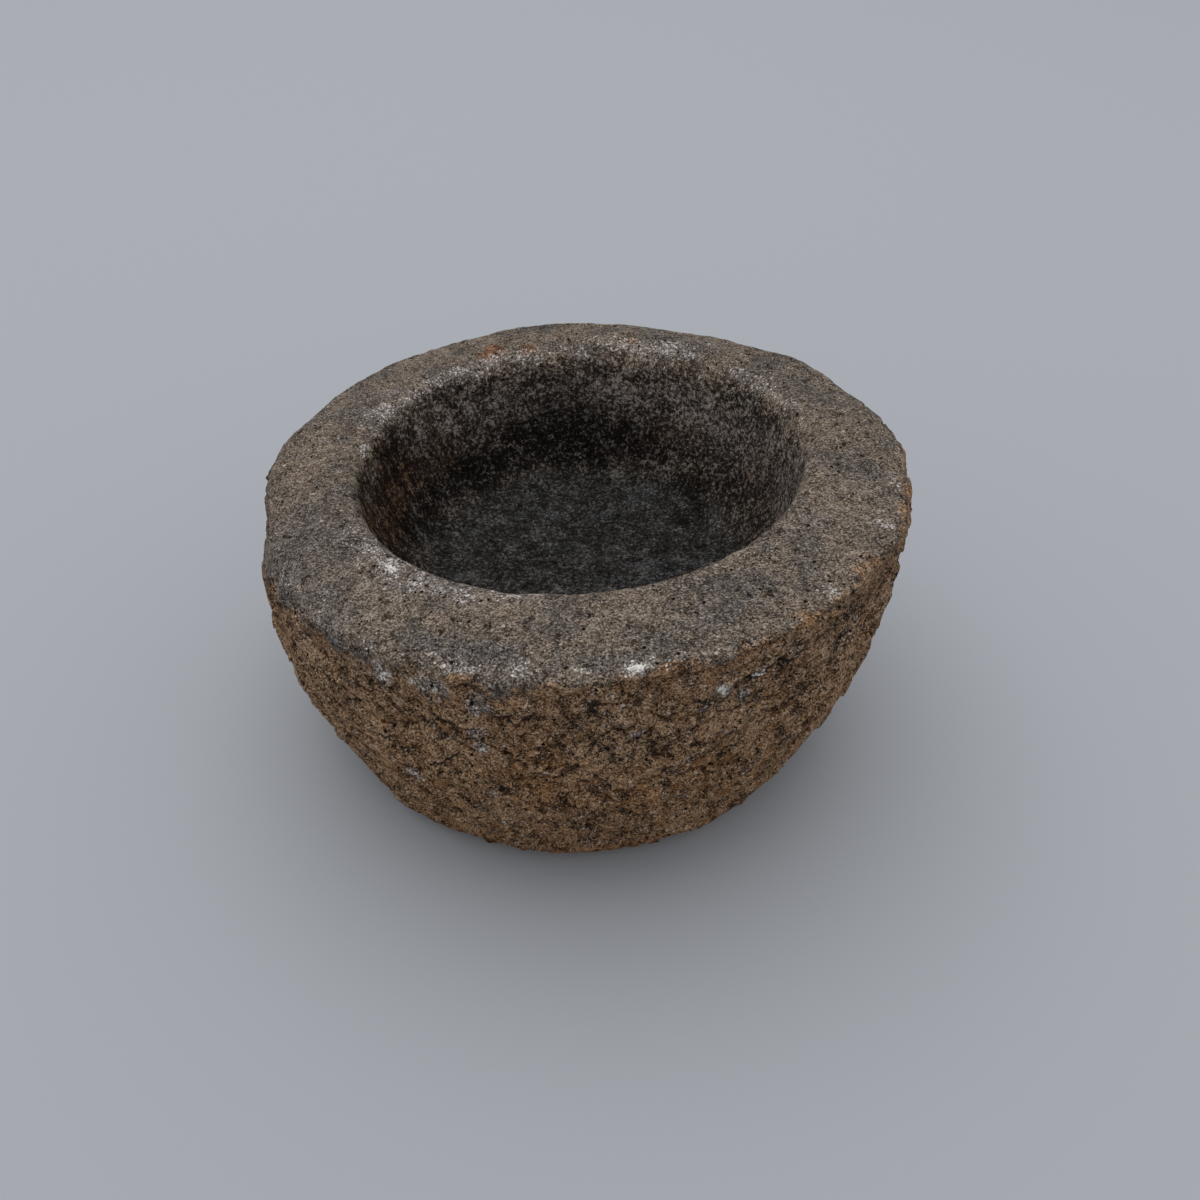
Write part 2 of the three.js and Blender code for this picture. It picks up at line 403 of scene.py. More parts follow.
def hewnStone(mm, normals):
    # how far the hewn outside rises, and how open its crevices and cavities are
    feature, reach = outside["bend"]
    warp = np.stack([latticeNoise(mm, feature, seed) for seed in (201, 202, 203)], axis=-1)
    bent = mm + reach * warp
    turn = -slant["turn"] * mm[:, 0] * (mm[:, 2] / 1000 - slant["level"]) / 1000
    flat = np.stack([bent[:, 0] * np.cos(turn) - bent[:, 1] * np.sin(turn),
                     bent[:, 0] * np.sin(turn) + bent[:, 1] * np.cos(turn),
                     bent[:, 2] * outside["flatten"]], axis=-1)
    size, depth, tilt = outside["flakes"]
    flakes = depth * flakeNoise(flat + outside["flakeBend"] * warp[:, ::-1], size, tilt, 31)
    size, depth, tilt = outside["chips"]
    flakes = flakes + depth * flakeNoise(flat, size, tilt, 37)
    rough = (field(outside["broad"], 2, 21, mm) + flakes + field(outside["lumps"], 2, 41, flat)
             + field(outside["crumbs"], 2, 51, flat) - outside["below"])
    wide = creviceLines(outside["crevices"], 61, flat, bent)
    thin = creviceLines(outside["fineCrevices"], 71, flat, bent)
    holes = smooth(outside["cavityFrom"], 1.0, layeredNoise(flat, outside["cavities"][0], 3, 81))
    rough = rough - wide * outside["crevices"][1] - thin * outside["fineCrevices"][1]
    rough = rough - holes * outside["cavities"][1]
    opened = np.maximum(wide, np.maximum(thin * outside["fineShare"], holes * outside["cavityShare"]))
    return toolMarked(rough, bent, normals), opened


def wornStone(relief, seed, mm):
    # how far a worn face rises: three sizes of soft unevenness
    return sum(field(relief[name], 2, seed + 4 * k, mm) for k, name in enumerate(("broad", "worn", "grain")))


def dented():
    # how far the dents lower every point
    lowered = np.zeros(along.shape)
    for angle, distance, width, tall, deep in dents:
        turn = (angles - math.radians(angle) + math.pi) % (2 * math.pi) - math.pi
        up = ((along - ridgeAt) * 1000 - distance) / tall
        far = (turn * rows[..., 0] * 1000 / width) ** 2 + up ** 2
        lowered += deep * np.exp(-far * 2)
    return lowered


def carve(points, normals, zone):
    # moves every point along its normal, and tells how deep in a cavity it lies, how far it stands out and
    # how far the stone just above it does
    shape = points.shape[:2]
    mm = points.reshape(-1, 3) * 1000
    rough, opened = (values.reshape(shape) for values in hewnStone(mm, normals.reshape(-1, 3)))
    worn, bowl = wornStone(rimTop, 91, mm).reshape(shape), wornStone(inside, 111, mm).reshape(shape)
    move = zone["outer"] * rough * (1 - outside["calmNearGround"] * zone["low"]) + zone["rim"] * worn
    move = move + zone["wall"] * bowl + zone["floor"] * bowl * inside["onFloor"]
    pecks = field(underside["pecks"], 3, 161, mm).reshape(shape)
    move = move - zone["foot"] * (underside["pecks"][1] + pecks)  # the foot stands on its high spots
    move = move - dented()
    # how open a crevice or cavity each point lies in, for the painted shade there
    pitShade = zone["outer"] * np.clip(opened, 0, 1)
    ragged = layeredNoise(mm, bubbles["raggedSize"], 2, 131).reshape(shape)
    move, pitShade = openBubbles(points, move, pitShade, zone, ragged)
    # how far the stone just above stands out over each point: shaded if it does, caught by the light if not
    above = max(1, round(outside["paintedLedgeShading"] / 1000 / grid["step"]))
    paintedLedgeShading = (np.roll(move, -above, axis=0) - np.roll(move, 1, axis=0)) * zone["outer"] ** 3
    return points + normals * move[..., None] / 1000, pitShade, move - blurred(move, reliefReach), paintedLedgeShading


def blurred(values, reach):
    # a running mean over a few millimetres both ways, taken twice
    steps = max(2, int(reach / grid["step"]))
    for _ in range(2):
        values = sum(np.roll(values, k, axis=1) for k in range(-steps, steps + 1)) / (2 * steps + 1)
        padded = np.pad(values, ((steps, steps), (0, 0)), mode="edge")
        values = sum(padded[k:k + len(values)] for k in range(2 * steps + 1)) / (2 * steps + 1)
    return values


def openBubbles(points, move, pitShade, zone, ragged):
    # open gas bubbles: small ragged bowls on the worn faces, larger and deeper ones on the outside
    columns = grid["columns"]
    worn, rough = ("shoulder", "rim", "lip", "wall", "floor"), ("footEdge", "belly", "shoulder")
    for kind, names in (("Rim", worn), ("Outside", rough)):
        small, large = bubbles["size" + kind]
        rowSet = np.flatnonzero(np.isin(rowNames, names))
        area = rows[rowSet, 0, 0] * rowStep[rowSet].mean(1)
        chosen = rng.choice(rowSet, bubbles["on" + kind], p=area / area.sum())
        for row in chosen:
            column = rng.integers(columns)
            size = (small + (large - small) * rng.random() ** 3) / 1000
            stretch = 1 + bubbles["longer"] * rng.random()
            turn = (rng.random() - 0.5) * bubbles["turn" + kind]
            reach = size * stretch * bubbles["reach"]
            rowsOut = int(reach / max(rowStep[row, column], 1e-4)) + 2
            columnsOut = int(reach / (rows[row, 0, 0] * 2 * math.pi / columns)) + 2
            first, last = max(row - rowsOut, 0), min(row + rowsOut + 1, len(rows))
            beside = np.arange(column - columnsOut, column + columnsOut + 1) % columns
            middle = points[row, column]
            across = points[row, (column + 1) % columns] - middle
            across /= np.linalg.norm(across)
            down = points[min(row + 1, len(rows) - 1), column] - points[max(row - 1, 0), column]
            down /= np.linalg.norm(down)
            # how far each point near it is from the bubble's middle, along it and across it
            offset = points[first:last][:, beside] - middle
            x, y = offset @ across, offset @ down
            lengthwise = x * math.cos(turn) + y * math.sin(turn)
            sideways = -x * math.sin(turn) + y * math.cos(turn)
            far = np.sqrt((lengthwise / stretch) ** 2 + sideways ** 2) / size
            far = far * (1 + bubbles["ragged"] * ragged[first:last][:, beside])
            bowl = np.clip(1 - far ** 2, 0, 1) ** bubbles["steep"]
            share = zone["outer"][first:last][:, beside]
            bowl = bowl * (share if kind == "Outside" else 1 - share)
            move[first:last, beside] = move[first:last][:, beside] - bowl * size * 1000 * bubbles["deep"]
            # how strongly the bubble's hollow takes painted shade
            opened = np.clip(bowl * bubbles["shadeInHoles"], 0, 1)
            pitShade[first:last, beside] = np.maximum(pitShade[first:last][:, beside], opened)
    return move, pitShade


def closedMesh(name, points, attributes):
    # rings joined into one closed skin, with a point in the middle of the foot and of the floor
    ringCount, columns = points.shape[:2]
    lowPole = points[0].mean(0)
    topPole = points[-1].mean(0)
    vertices = np.vstack([points.reshape(-1, 3), lowPole, topPole])
    ring = np.arange(ringCount - 1)[:, None] * columns
    here = np.arange(columns)
    ahead = (here + 1) % columns
    corners = [ring + here, ring + ahead, ring + columns + ahead, ring + columns + here]
    quads = np.stack(corners, axis=-1).reshape(-1, 4)
    low, top = ringCount * columns, ringCount * columns + 1
    lowFan = np.stack([np.full(columns, low), ahead, here], axis=-1)
    last = (ringCount - 1) * columns
    topFan = np.stack([np.full(columns, top), last + here, last + ahead], axis=-1)
    mesh = bpy.data.meshes.new(name)
    loops = np.concatenate([quads.ravel(), lowFan.ravel(), topFan.ravel()]).astype(np.int32)
    sizes = np.concatenate([np.full(len(quads), 4), np.full(2 * columns, 3)])
    starts = np.concatenate([[0], np.cumsum(sizes)[:-1]]).astype(np.int32)
    mesh.vertices.add(len(vertices))
    mesh.vertices.foreach_set("co", vertices.astype(np.float32).ravel())
    mesh.loops.add(len(loops))
    mesh.loops.foreach_set("vertex_index", loops)
    mesh.polygons.add(len(sizes))
    mesh.polygons.foreach_set("loop_start", starts)
    mesh.update(calc_edges=True)
    for key, values in attributes.items():
        layer = mesh.attributes.new(key, "FLOAT", "POINT")
        full = np.concatenate([values.ravel(), [values[0].mean(), values[-1].mean()]])
        layer.data.foreach_set("value", full.astype(np.float32))
    return mesh


def thinned(mesh, triangles):
    # keeps the relief and drops triangles where the stone is smooth
    whole = bpy.data.objects.new("raw", mesh)
    bpy.context.scene.collection.objects.link(whole)
    modifier = whole.modifiers.new("thin", "DECIMATE")
    count = sum(len(p.vertices) - 2 for p in mesh.polygons)
    modifier.ratio = triangles / count
    graph = bpy.context.evaluated_depsgraph_get()
    kept = bpy.data.meshes.new_from_object(whole.evaluated_get(graph), depsgraph=graph)
    bpy.data.objects.remove(whole)
    bpy.data.meshes.remove(mesh)
    return kept


zone = zones(smoothBody)
carved, pitShade, relief, paintedLedgeShading = carve(smoothBody, gridNormals(smoothBody), zone)
carved[..., 2] = np.maximum(carved[..., 2], 0)
print("relief carved", round(float(relief.min()), 2), "to", round(float(relief.max()), 2), "mm")

edge = layeredNoise(smoothBody.reshape(-1, 3), patches["raggedSize"], 3, 141).reshape(relief.shape)
bruised = np.maximum(patchesAt(bruisedLip, lipAt, edge), patchesAt(bruisedRidge, ridgeAt, edge))
# some of these masks carry painted light and shade: beside and under the ledges, on what stands out or lies
# low, in pits and cavities, and in the belly's pale patches
attributes = dict(outer=zone["brown"], wall=zone["wall"], bowlFloor=zone["floor"], foot=zone["foot"],
                  deep=zone["deep"], low=zone["low"], pitShade=pitShade, relief=relief, paintedLedgeShading=paintedLedgeShading, bruise=bruised,
                  rust=patchesAt(rusted, lipAt, edge), ochre=patchesAt(ochred, ridgeAt, edge),
                  soot=patchesAt(sooted, lipAt, edge), brown=patchesAt(browned, lipAt, edge),
                  cloudAndPaintedLight=patchesAt(cloudsAndPaintedLight, lipAt, edge))
raw = closedMesh("mortarStone", carved, attributes)
mesh = thinned(raw, grid["keptTriangles"])
mesh.name = "mortarStone"
mesh.shade_smooth()
stone = bpy.data.objects.new("carved_mortar", mesh)
bpy.context.scene.collection.objects.link(stone)
print("stone mesh", len(mesh.polygons), "triangles")


class Nodes:
    # short ways to write a node tree
    def __init__(self, tree):
        self.tree = tree

    def add(self, kind, **settings):
        made = self.tree.nodes.new(kind)
        for key, value in settings.items():
            setattr(made, key, value)
        return made

    def set(self, socket, value):
        if isinstance(value, bpy.types.NodeSocket):
            self.tree.links.new(value, socket)
        else:
            socket.default_value = value

    def math(self, operation, a, b=0.0, clamp=False):
        made = self.add("ShaderNodeMath", operation=operation, use_clamp=clamp)
        self.set(made.inputs[0], a)
        self.set(made.inputs[1], b)
        return made.outputs[0]

    def attribute(self, name):
        return self.add("ShaderNodeAttribute", attribute_name=name).outputs["Fac"]

    def noise(self, place, scale, detail, roughness):
        made = self.add("ShaderNodeTexNoise")
        self.set(made.inputs["Vector"], place)
        made.inputs["Scale"].default_value = scale
        made.inputs["Detail"].default_value = detail
        made.inputs["Roughness"].default_value = roughness
        return made.outputs["Fac"]

    def cells(self, place, scale):
        made = self.add("ShaderNodeTexVoronoi")
        self.set(made.inputs["Vector"], place)
        made.inputs["Scale"].default_value = scale
        split = self.add("ShaderNodeSeparateColor")
        self.set(split.inputs[0], made.outputs["Color"])
        return made.outputs["Distance"], split.outputs[0], split.outputs[1]

    def spots(self, place, scale, size, rarity):
        # round spots in a share of the cells, each with a size of its own
        distance, chance, growth = self.cells(place, scale)
        reach = self.math("MULTIPLY", self.span(growth, 0.0, 1.0, 0.45, 1.0), size)
        inside = self.span(self.math("DIVIDE", distance, reach), 1.0, 0.6)
        return self.math("MULTIPLY", inside, self.math("GREATER_THAN", chance, rarity))

    def spotsWhere(self, place, scale, size, share):
        # ragged grains in as many of the cells as the share says
        distance, chance, growth = self.cells(place, scale)
        inside = self.span(self.math("DIVIDE", distance, self.span(growth, 0.0, 1.0, 0.3, size)), 1.0, 0.7)
        return self.math("MULTIPLY", inside, self.math("LESS_THAN", chance, share))

    def stretched(self, place, factors):
        made = self.add("ShaderNodeVectorMath", operation="MULTIPLY")
        self.set(made.inputs[0], place)
        made.inputs[1].default_value = factors
        return made.outputs[0]

    def wrapped(self, place, radius):
        # the place moved straight out or in to a cylinder round the upright axis
        split = self.add("ShaderNodeSeparateXYZ")
        self.set(split.inputs[0], place)
        outwards = self.add("ShaderNodeVectorMath", operation="NORMALIZE")
        self.set(outwards.inputs[0], self.stretched(place, (1, 1, 0)))
        made = self.add("ShaderNodeVectorMath", operation="SCALE")
        self.set(made.inputs[0], outwards.outputs[0])
        made.inputs["Scale"].default_value = radius
        joined = self.add("ShaderNodeSeparateXYZ")
        self.set(joined.inputs[0], made.outputs[0])
        back = self.add("ShaderNodeCombineXYZ")
        self.set(back.inputs[0], joined.outputs[0])
        self.set(back.inputs[1], joined.outputs[1])
        self.set(back.inputs[2], split.outputs[2])
        return back.outputs[0]

    def span(self, value, low, high, toLow=0.0, toHigh=1.0):
        made = self.add("ShaderNodeMapRange", interpolation_type="SMOOTHSTEP")
        self.set(made.inputs["Value"], value)
        for key, number in (("From Min", low), ("From Max", high), ("To Min", toLow), ("To Max", toHigh)):
            made.inputs[key].default_value = number
        return made.outputs["Result"]

    def ramp(self, value, low, high):
        made = self.add("ShaderNodeMapRange")
        self.set(made.inputs["Value"], value)
        made.inputs["From Min"].default_value = low
        made.inputs["From Max"].default_value = high
        return made.outputs["Result"]

    def mix(self, share, a, b, blend="MIX"):
        made = self.add("ShaderNodeMix", data_type="RGBA", blend_type=blend)
        self.set(made.inputs[0], share)
        self.set(made.inputs[6], a)
        self.set(made.inputs[7], b)
        return made.outputs[2]


def tone(red, green, blue):
    # a colour as a paint chart gives it, 0 to 255, made linear
    values = [c / 255 for c in (red, green, blue)]
    return [c / 12.92 if c <= 0.04045 else ((c + 0.055) / 1.055) ** 2.4 for c in values] + [1.0]


# each finish as its darkest grains, its main colour and its palest grains
stoneColours = dict(
    rimTan=((38, 26, 18), (121, 106, 91), (194, 181, 167)),
    rimGrey=((38, 30, 25), (106, 98, 91), (184, 177, 170)),
    rimCool=((44, 40, 40), (96, 94, 95), (174, 170, 171)),
    rustRed=((60, 32, 20), (118, 76, 54), (160, 118, 92)),
    rustOrange=((84, 48, 26), (144, 100, 66), (182, 146, 112)),
    lilac=((62, 53, 49), (136, 126, 120), (214, 207, 201)),
    bruise=((118, 110, 108), (202, 196, 194), (246, 243, 240)),
    outer=((46, 24, 9), (158, 115, 75), (206, 167, 129)),
    # a pale dusty tone that also serves as painted light on the outside
    outerPaleAndPaintedLight=((62, 40, 23), (172, 138, 105), (216, 191, 164)),
    # the painted shade of the outside's hollows
    outerPaintedShade=((20, 9, 3), (100, 68, 41), (160, 124, 92)),
    outerHigh=((44, 29, 19), (134, 112, 92), (198, 178, 160)),
    ochre=((66, 42, 22), (132, 98, 64), (170, 140, 110)),
    lowBand=((46, 23, 8), (152, 99, 55), (194, 145, 98)),
    pepper=((30, 21, 14), (108, 91, 76), (166, 150, 136)),
    # the painted shade of cut cavities and open bubbles
    paintedCavityShade=((20, 12, 6), (62, 45, 31), (108, 86, 68)),
    foot=((60, 46, 34), (104, 86, 70), (150, 134, 118)),
    wallUpper=((40, 34, 31), (126, 116, 110), (178, 168, 162)),
    wallLow=((10, 7, 6), (52, 45, 40), (136, 125, 115)),
    wallBrown=((5, 2, 0), (52, 31, 14), (118, 86, 56)),
    soot=((0, 0, 0), (7, 6, 6), (96, 90, 85)),
    floor=((12, 11, 11), (60, 59, 57), (112, 110, 106)),
    floorCool=((12, 12, 12), (60, 60, 60), (110, 110, 110)),
)
# single colours: the painted shade of open pits, crevices and ledges outside, also its black grains, the
# painted shade of pores on the worn faces, pale specks, chalky grains and fresh chips
grainColours = dict(pitShade=(22, 12, 6), poreShade=(36, 25, 18), speck=(186, 178, 168),
                    chalk=(206, 200, 193), chip=(246, 242, 234))

# the patterns: how many to the metre, how many finer layers, and how strong those are
stonePatterns = dict(
    dust=(1300, 2.0, 0.7), coarse=(240, 4.0, 0.7), clouds=(30, 5.0, 0.62), drift=(11, 4.0, 0.6),
    edge=(110, 5.0, 0.7), flecks=(480, 3.0, 0.7), streaks=(360, 3.0, 0.6), floorSpots=(170, 4.0, 0.7),
    pepper=(66, 5.0, 0.68), prick=(950, 2.0, 0.7), prickClusters=(190, 4.0, 0.7),
    crevice=(125, 6.0, 0.72), creviceKept=(62, 4.0, 0.65),
)
# the grains: sand, chalk and pores to the metre; crystals also with their size and the share left out
stoneGrain = dict(sand=1350, chalk=760, pores=230, crystals=(520, 0.34, 0.9), flatten=1.35,
                  streakRadius=0.1, streakLength=0.22)

# how much each pattern makes a grain paler or darker, where nothing does it, and how strong it is in all
paleShares = dict(sand=0.68, dust=0.8, coarse=0.6, middle=0.49, crystals=0.42, clouds=0.45, edge=0.45,
                  contrast=0.86, outerContrast=0.12, streaks=2.4, streaksOnBrown=0.9, streaksAnywhere=0.12,
                  fleckSpan=(0.42, 0.66), flecks=1.4, hollowEdge=2.6, onWall=0.6, onFloor=0.38)
# how far a value has to go before each finish shows, and how much of it then shows
rimLook = dict(tan=(0.34, 0.62), tanEdge=0.8, cool=(0.54, 0.70), coolShare=0.25, cloudEdge=(0.35, 0.60),
               orange=(0.42, 0.6), rust=(0.15, 0.7), rustShare=0.85)
# the outside's look also holds ranges for painted light and painted shade: on raised and hollow relief,
# beside and under ledges
outerLook = dict(dustAndPaintedLight=(0.46, 0.64), dustyShare=0.5, raised=(0.2, 1.2), paintedLedgeShadingCoarse=1.6, paintedLit=(-0.3, -1.3),
                 paintedLitShare=0.8, paintedHollowShade=(-1.5, -0.8), paintedHollowShadeCoarse=1.2, ochre=(0.10, 0.9), ochreShare=0.8,
                 lowShare=0.8, nearTop=(0.095, 0.15), nearTopShare=0.4, border=(0.22, 0.78),
                 borderEdge=1.0, borderCoarse=1.2, pepper=(0.59, 0.63), pepperShare=0.6,
                 pepperNearTop=0.03, pepperLow=(-0.2, -1.0), pepperInLow=0.07, black=(0.22, 0.42),
                 white=(0.80, 0.93), paintedLedgeShade=(0.8, 1.4), paintedLedgeShadeShare=0.8)
hollowLook = dict(upper=(0.03, 0.34), lower=(0.26, 0.68), towardsFloor=(0.72, 0.95), brownShare=0.9,
                  cool=(0.42, 0.62), spots=(0.43, 0.37), spotShare=0.75, floor=(0.05, 0.95),
                  soot=(0.05, 0.95), sootShare=0.95)
bruiseLook = dict(haze=(0.0, 0.8), hazeShare=0.75, hazeEdge=0.8, chalkSize=0.75, chalkShare=0.75,
                  chalkEdge=1.1, chalkWhere=(0.02, 0.2), chip=(0.85, 0.95), chipEdge=0.8,
                  chipShare=0.9, chipWhite=(0.1, 0.5))
# how the painted shade of pricks, crevices, cut cavities and open pores is spread
pitLook = dict(clusters=0.45, fewer=0.050, inCavities=0.10, prick=(0.378, 0.358), prickShare=0.9,
               creviceKept=(0.50, 0.60), creviceWidth=(0.026, 0.006), cavityShade=(0.0, 0.9), cavityShare=0.45,
               shadeInHolesShare=0.95, poreEdge=0.22, poreSize=(0.07, 0.25), poreWhere=(0.36, 0.56),
               poreShare=(0.10, 0.55), fewerOnWall=0.7, speckShare=0.86, fewerInHollow=0.8)
# gloss and bumps of the bare stone
surfaceLook = dict(roughFrom=(0.3, 0.7), roughness=(0.82, 0.96), gloss=0.12, bumpHeight=0.0014,
                   dust=0.6, coarse=1.6, sand=0.25, prick=0.6, crevice=1.2)


def stoneMaterial():
    material = bpy.data.materials.new("lavaStone")
    material.use_nodes = True
    tree = material.node_tree
    tree.nodes.clear()
    n = Nodes(tree)
    place = n.add("ShaderNodeTexCoord").outputs["Object"]
    # the grain's own coordinates, slanted and flattened
    split = n.add("ShaderNodeSeparateXYZ")
    n.set(split.inputs[0], place)
    height = split.outputs[2]
    below = n.math("SUBTRACT", height, slant["level"])
    turn = n.math("MULTIPLY", n.math("MULTIPLY", split.outputs[0], below), -slant["turn"])
    turned = n.add("ShaderNodeVectorRotate", rotation_type="Z_AXIS")
    n.set(turned.inputs["Vector"], place)
    n.set(turned.inputs["Angle"], turn)
    level = n.stretched(turned.outputs[0], (1, 1, stoneGrain["flatten"]))
    # and upright ones, that run down the wall of the hollow
    upright = n.wrapped(place, stoneGrain["streakRadius"])
    upright = n.stretched(upright, (1, 1, stoneGrain["streakLength"]))

    outerShare, wallShare = n.attribute("outer"), n.attribute("wall")
    floorShare, footShare = n.attribute("bowlFloor"), n.attribute("foot")
    deep, cavityShade, relief, bruise = (n.attribute(k) for k in ("deep", "pitShade", "relief", "bruise"))
    brown, cloudAndPaintedLight, low = (n.attribute(k) for k in ("brown", "cloudAndPaintedLight", "low"))
    hollow = n.math("ADD", wallShare, floorShare, True)
    blackAndPitShadeColour, poreShadeColour, speckColour, chalkColour, chipColour = (
        tone(*grainColours[k]) for k in ("pitShade", "poreShade", "speck", "chalk", "chip"))

    def pattern(name, where):
        return n.noise(where, *stonePatterns[name])

    def swing(source, share):
        # a pattern's rise and fall round its middle
        return n.math("MULTIPLY", n.math("SUBTRACT", source, 0.5), share)

    def part(value, share):
        return n.math("MULTIPLY", value, share)

    sand = n.cells(place, stoneGrain["sand"])[1]
    crystals = n.spots(place, *stoneGrain["crystals"])
    dust, clouds, drift = pattern("dust", place), pattern("clouds", place), pattern("drift", place)
    edge, flecks = pattern("edge", place), pattern("flecks", place)
    coarse, streaks = pattern("coarse", level), pattern("streaks", upright)

    # how pale each grain is, from 0 to 1
    p = paleShares
    pale = n.math("ADD", swing(sand, p["sand"]), swing(dust, p["dust"]))
    pale = n.math("ADD", pale, swing(coarse, p["coarse"]))
    pale = n.math("MULTIPLY", pale, n.math("ADD", part(outerShare, p["outerContrast"]), p["contrast"]))
    streaked = n.math("ADD", part(brown, p["streaksOnBrown"]), p["streaksAnywhere"])
    pale = n.math("ADD", pale, part(swing(streaks, p["streaks"]), part(streaked, wallShare)))
    mottle = n.math("ADD", swing(n.span(flecks, *p["fleckSpan"]), p["flecks"]), swing(edge, p["hollowEdge"]))
    mottled = n.math("ADD", part(wallShare, p["onWall"]), part(floorShare, p["onFloor"]))
    pale = n.math("ADD", pale, part(mottle, mottled))
    pale = n.math("ADD", pale, part(crystals, p["crystals"]))
    pale = n.math("ADD", pale, n.math("ADD", swing(clouds, p["clouds"]), swing(edge, p["edge"])))
    pale = n.math("ADD", pale, p["middle"])

    def finish(name):
        darkest, main, palest = (tone(*colour) for colour in stoneColours[name])
        lower = n.mix(n.ramp(pale, 0.0, 0.5), darkest, main)
        return n.mix(n.ramp(pale, 0.5, 1.0), lower, palest)

    def ragged(share, reach, amount=0.5):
        # a soft share turned into a patch with a crumbly edge
        return n.span(n.math("ADD", share, swing(edge, amount)), *reach)

    # the worn rim: tan and grey with cool clouds, and rust at the back
    look = rimLook
    tan = n.span(n.math("ADD", clouds, swing(edge, look["tanEdge"])), *look["tan"])
    rim = n.mix(tan, finish("rimGrey"), finish("rimTan"))
    cool = part(n.span(drift, *look["cool"]), look["coolShare"])
    cool = n.math("MAXIMUM", cool, part(cloudAndPaintedLight, n.span(edge, *look["cloudEdge"])))
    rim = n.mix(cool, rim, finish("rimCool"))
    rusty = n.mix(n.span(coarse, *look["orange"]), finish("rustRed"), finish("rustOrange"))
    rim = n.mix(part(ragged(n.attribute("rust"), look["rust"]), look["rustShare"]), rim, rusty)

    # the hewn outside: brown, paler in dusty clouds, painted light on what stands out, beside ledges and in
    # the belly's pale patches, painted shade in deep brown in the hollows between, ochre in patches
    look = outerLook
    dustAndPaintedLight = n.math("MAXIMUM", part(n.span(clouds, *look["dustAndPaintedLight"]), look["dustyShare"]), cloudAndPaintedLight)
    # painted light on what stands out
    dustAndPaintedLight = n.math("MAXIMUM", dustAndPaintedLight, n.span(relief, *look["raised"]))
    outer = n.mix(dustAndPaintedLight, finish("outer"), finish("outerPaleAndPaintedLight"))
    # painted light where the stone just above lies back, on the faces that no ledge hangs over
    paintedLedgeShading = n.math("ADD", n.attribute("paintedLedgeShading"), swing(coarse, look["paintedLedgeShadingCoarse"]))
    outer = n.mix(n.span(paintedLedgeShading, *look["paintedLit"], 0.0, look["paintedLitShare"]), outer, finish("outerPaleAndPaintedLight"))
    # painted shade in the hollows between what stands out
    paintedHollowShade = n.span(n.math("ADD", relief, swing(coarse, look["paintedHollowShadeCoarse"])), *look["paintedHollowShade"])
    outer = n.mix(paintedHollowShade, finish("outerPaintedShade"), outer)
    ochre = part(ragged(n.attribute("ochre"), look["ochre"], 0.9), look["ochreShare"])
    outer = n.mix(ochre, outer, finish("ochre"))
    outer = n.mix(part(low, look["lowShare"]), outer, finish("lowBand"))
    nearTop = n.span(height, *look["nearTop"])
    outer = n.mix(part(nearTop, look["nearTopShare"]), outer, finish("outerHigh"))

    # the hollow: like the rim at the lip, darker downwards, sooty low at the back and charcoal on the floor
    look = hollowLook
    wall = n.mix(ragged(deep, look["upper"]), rim, finish("wallUpper"))
    wall = n.mix(ragged(deep, look["lower"]), wall, finish("wallLow"))
    wall = n.mix(n.span(deep, *look["towardsFloor"]), wall, finish("floor"))
    wall = n.mix(part(brown, look["brownShare"]), wall, finish("wallBrown"))
    floor = n.mix(n.span(clouds, *look["cool"]), finish("floor"), finish("floorCool"))
    spots = n.span(pattern("floorSpots", place), *look["spots"])
    floor = n.mix(part(spots, look["spotShare"]), floor, finish("soot"))

    border = n.math("ADD", swing(edge, outerLook["borderEdge"]), swing(coarse, outerLook["borderCoarse"]))
    border = n.span(n.math("ADD", outerShare, border), *outerLook["border"])
    colour = n.mix(border, rim, outer)
    colour = n.mix(wallShare, colour, wall)
    colour = n.mix(ragged(floorShare, look["floor"]), colour, floor)
    soot = part(ragged(n.attribute("soot"), look["soot"]), look["sootShare"])
    colour = n.mix(soot, colour, finish("soot"))
    colour = n.mix(footShare, colour, finish("foot"))

    # open rock in patches of the outside, most in the low places: grey, black and white grains side by side
    look = outerLook
    peppered = n.math("ADD", pattern("pepper", level), part(nearTop, look["pepperNearTop"]))
    peppered = n.math("ADD", peppered, n.span(relief, *look["pepperLow"], 0.0, look["pepperInLow"]))
    peppered = part(n.span(peppered, *look["pepper"]), outerShare)
    grains = n.mix(n.span(sand, *look["white"]), finish("pepper"), chalkColour)
    grains = n.mix(n.span(sand, *look["black"]), blackAndPitShadeColour, grains)
    colour = n.mix(part(peppered, look["pepperShare"]), colour, grains)
    # painted shade under the ledges
    paintedLedgeShade = part(n.span(paintedLedgeShading, *look["paintedLedgeShade"], 0.0, look["paintedLedgeShadeShare"]), outerShare)
    colour = n.mix(paintedLedgeShade, colour, blackAndPitShadeColour)

    # bruises: a pale lilac haze with whiter grains in it, and fresh chips where they are strongest
    look = bruiseLook
    haze = part(ragged(bruise, look["haze"], look["hazeEdge"]), look["hazeShare"])
    colour = n.mix(haze, colour, finish("lilac"))
    dense = n.math("ADD", part(bruise, look["chalkShare"]), swing(edge, look["chalkEdge"]))
    dense = part(dense, n.span(bruise, *look["chalkWhere"]))
    chalk = n.spotsWhere(place, stoneGrain["chalk"], look["chalkSize"], dense)
    colour = n.mix(chalk, colour, finish("bruise"))
    chip = n.span(n.math("ADD", bruise, swing(edge, look["chipEdge"])), *look["chip"])
    fresh = n.mix(n.span(sand, *look["chipWhite"]), finish("bruise"), chipColour)
    colour = n.mix(part(chip, look["chipShare"]), colour, fresh)

